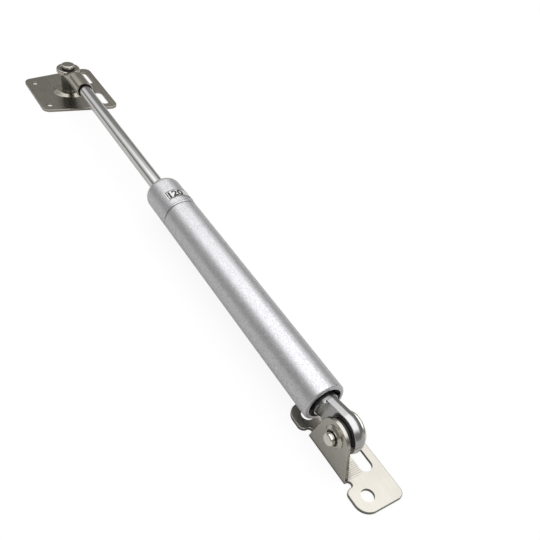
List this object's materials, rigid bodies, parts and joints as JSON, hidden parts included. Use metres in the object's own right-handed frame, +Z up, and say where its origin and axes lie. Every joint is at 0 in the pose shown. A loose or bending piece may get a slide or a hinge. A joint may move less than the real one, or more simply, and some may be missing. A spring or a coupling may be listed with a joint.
{
  "type": "gas spring",
  "caption": "Small gas spring for a cabinet door or lid, with a hinged base bracket at the tube end and a slotted door plate on a stud at the rod end.",
  "frame": {"origin": "on the underside of the bracket's base plate, straight below the axis of its pivot pin", "axes": "+X along the spring from the bracket to the door plate, +Y from the spring to the bracket's ear, +Z up, away from the face that the plates lie on"},
  "size_m": [0.2881, 0.037, 0.0205],
  "materials": {
    "tube_paint": "satin silver-grey paint with a fine metallic grain",
    "rod_chrome": "polished hard chrome",
    "bracket_nickel": "pressed steel, bright nickel plate",
    "plate_nickel": "pressed steel, bright nickel plate",
    "rod_end_nickel": "pressed steel, satin nickel plate",
    "eye_zinc": "machined steel, bright zinc plate",
    "pin_nickel": "turned steel, bright nickel plate",
    "bush_bronze": "plain sintered bush",
    "inner_steel": "plain turned steel",
    "piston_aluminium": "plain turned",
    "seal_rubber": "smooth moulded",
    "guide_plastic": "smooth moulded",
    "black_plastic": "smooth moulded",
    "label_film": "white film with a thin black frame and plain digits"
  },
  "bodies": {
    "bracket": {"bracket": "bracket_nickel", "pivot_pin": "pin_nickel", "pin_cap": "pin_nickel", "friction_washer": "black_plastic"},
    "cylinder": {"cylinder_tube": "tube_paint", "force_label": "label_film", "eye_fitting": "eye_zinc", "plug_o_ring": "seal_rubber", "eye_bush": "bush_bronze", "rod_guide": "guide_plastic", "rod_seal": "seal_rubber", "backing_washer": "inner_steel"},
    "sliding_ring": {"piston_ring": "guide_plastic"},
    "rod": {"piston_rod": "rod_chrome", "piston_front_washer": "inner_steel", "piston": "piston_aluminium", "valve_disc": "inner_steel", "piston_nut": "inner_steel", "rod_end_eye": "rod_end_nickel", "rod_end_sleeve": "black_plastic"},
    "door_plate": {"door_plate": "plate_nickel", "door_stud": "pin_nickel", "stud_spacer": "black_plastic", "stud_washer": "black_plastic"}
  },
  "joints": [
    {"name": "bracket_pivot", "type": "hinge", "parent": "bracket", "child": "cylinder", "pos_m": [0, 0, 0.0122], "axis": [0, -1, 0], "range_deg": [-7, 187]},
    {"name": "rod_slide", "type": "slide", "parent": "cylinder", "child": "sliding_ring", "axis": [1, 0, 0.0049], "range_m": [-0.08, 0], "stiffness_N_per_m": 250, "springref_m": 0.4},
    {"name": "rod_spin", "type": "hinge", "parent": "sliding_ring", "child": "rod", "pos_m": [0, 0, 0.0122], "axis": [1, 0, 0.0049], "continuous": true},
    {"name": "door_plate_swivel", "type": "hinge", "parent": "rod", "child": "door_plate", "pos_m": [0.24458, 0, 0.0134], "axis": [0, 0, 1], "continuous": true}
  ]
}
